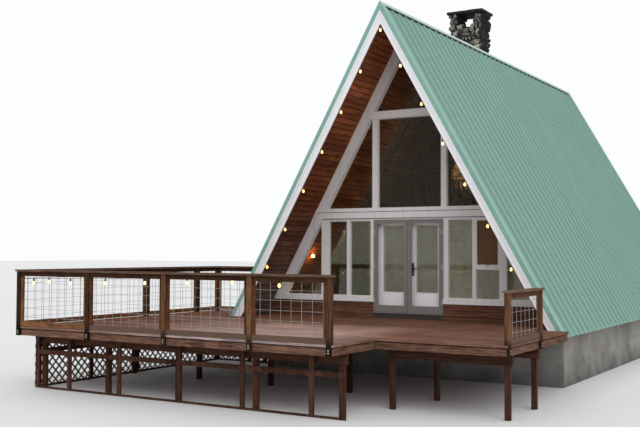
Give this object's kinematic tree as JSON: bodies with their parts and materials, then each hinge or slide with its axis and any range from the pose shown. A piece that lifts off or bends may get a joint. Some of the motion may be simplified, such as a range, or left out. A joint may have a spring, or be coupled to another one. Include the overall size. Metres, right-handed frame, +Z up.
{
  "type": "a-frame cabin",
  "caption": "Timber A-frame cabin with a steep ribbed metal roof, glazed gable front, stone chimney, French doors and a raised railed deck.",
  "frame": {"origin": "on the lowest ground, on the foundation's bottom face under the middle of the front wall's outer face", "axes": "+X runs to the right along the front seen from outside, +Y runs into the cabin, +Z up"},
  "size_m": [9.588, 18.2505, 9.19],
  "materials": {
    "concrete": "rough",
    "floor_wood": "satin",
    "dark_wood": "satin",
    "soffit_wood": "satin",
    "green_metal": "satin",
    "white_paint": "satin",
    "clear_glass": "gloss",
    "gray_paint": "satin",
    "hinge_steel": "satin",
    "rough_stone": "rough",
    "cap_stone": "rough",
    "deck_wood": "weathered",
    "deck_timber": "weathered",
    "rail_wood": "weathered",
    "galvanised_wire": "satin",
    "lattice_wood": "weathered",
    "black_metal": "satin"
  },
  "bodies": {
    "cabin": {"foundation_walls": "concrete", "cabin_floor": "floor_wood", "loft_floor": "floor_wood", "loft_rail": "dark_wood", "left_roof_panel": "soffit_wood", "right_roof_panel": "soffit_wood", "left_roof_sheet": "green_metal", "right_roof_sheet": "green_metal", "rafters": "soffit_wood", "ridge_cap": "green_metal", "fascia_boards": "white_paint", "fascia_caps": "white_paint", "rake_flashings": "green_metal", "front_wall": "white_paint", "front_base_siding": "soffit_wood", "front_window_frames": "white_paint", "window_glass": "clear_glass", "wall_rake_trims": "white_paint", "sill_trims": "white_paint", "band_and_collar_boards": "white_paint", "band_ledges": "white_paint", "back_wall": "soffit_wood", "back_window_frames": "white_paint", "door_frame": "gray_paint", "door_hinges": "hinge_steel", "chimney_stack": "rough_stone", "chimney_cap": "cap_stone", "deck_boards": "deck_wood", "deck_joists": "deck_timber", "deck_beams": "deck_timber", "deck_posts": "deck_timber", "rail_posts": "rail_wood", "rail_frames": "rail_wood", "front_rail_wire": "galvanised_wire", "side_rail_wire": "galvanised_wire", "rail_caps": "rail_wood", "skirt_frames": "deck_timber", "left_lattice": "lattice_wood", "back_lattice": "lattice_wood"},
    "left_door": {"left_door": "white_paint", "left_door_glass": "clear_glass"},
    "right_door": {"right_door": "white_paint", "right_door_glass": "clear_glass", "door_handle": "black_metal"},
    "left_storm_door": {"left_storm_door": "gray_paint", "left_storm_glass": "clear_glass"},
    "right_storm_door": {"right_storm_door": "gray_paint", "right_storm_glass": "clear_glass"}
  },
  "joints": [
    {"name": "left_door_swing", "type": "hinge", "parent": "cabin", "child": "left_door", "pos_m": [-0.7995, 0.1663, 1.375], "axis": [0, 0, 1], "range_deg": [0, 100]},
    {"name": "right_door_swing", "type": "hinge", "parent": "cabin", "child": "right_door", "pos_m": [0.8275, 0.1663, 1.375], "axis": [0, 0, -1], "range_deg": [0, 100]},
    {"name": "left_storm_swing", "type": "hinge", "parent": "cabin", "child": "left_storm_door", "pos_m": [-0.7995, -0.0313, 1.375], "axis": [0, 0, -1], "range_deg": [0, 90]},
    {"name": "right_storm_swing", "type": "hinge", "parent": "cabin", "child": "right_storm_door", "pos_m": [0.8275, -0.0313, 1.375], "axis": [0, 0, 1], "range_deg": [0, 90]}
  ]
}
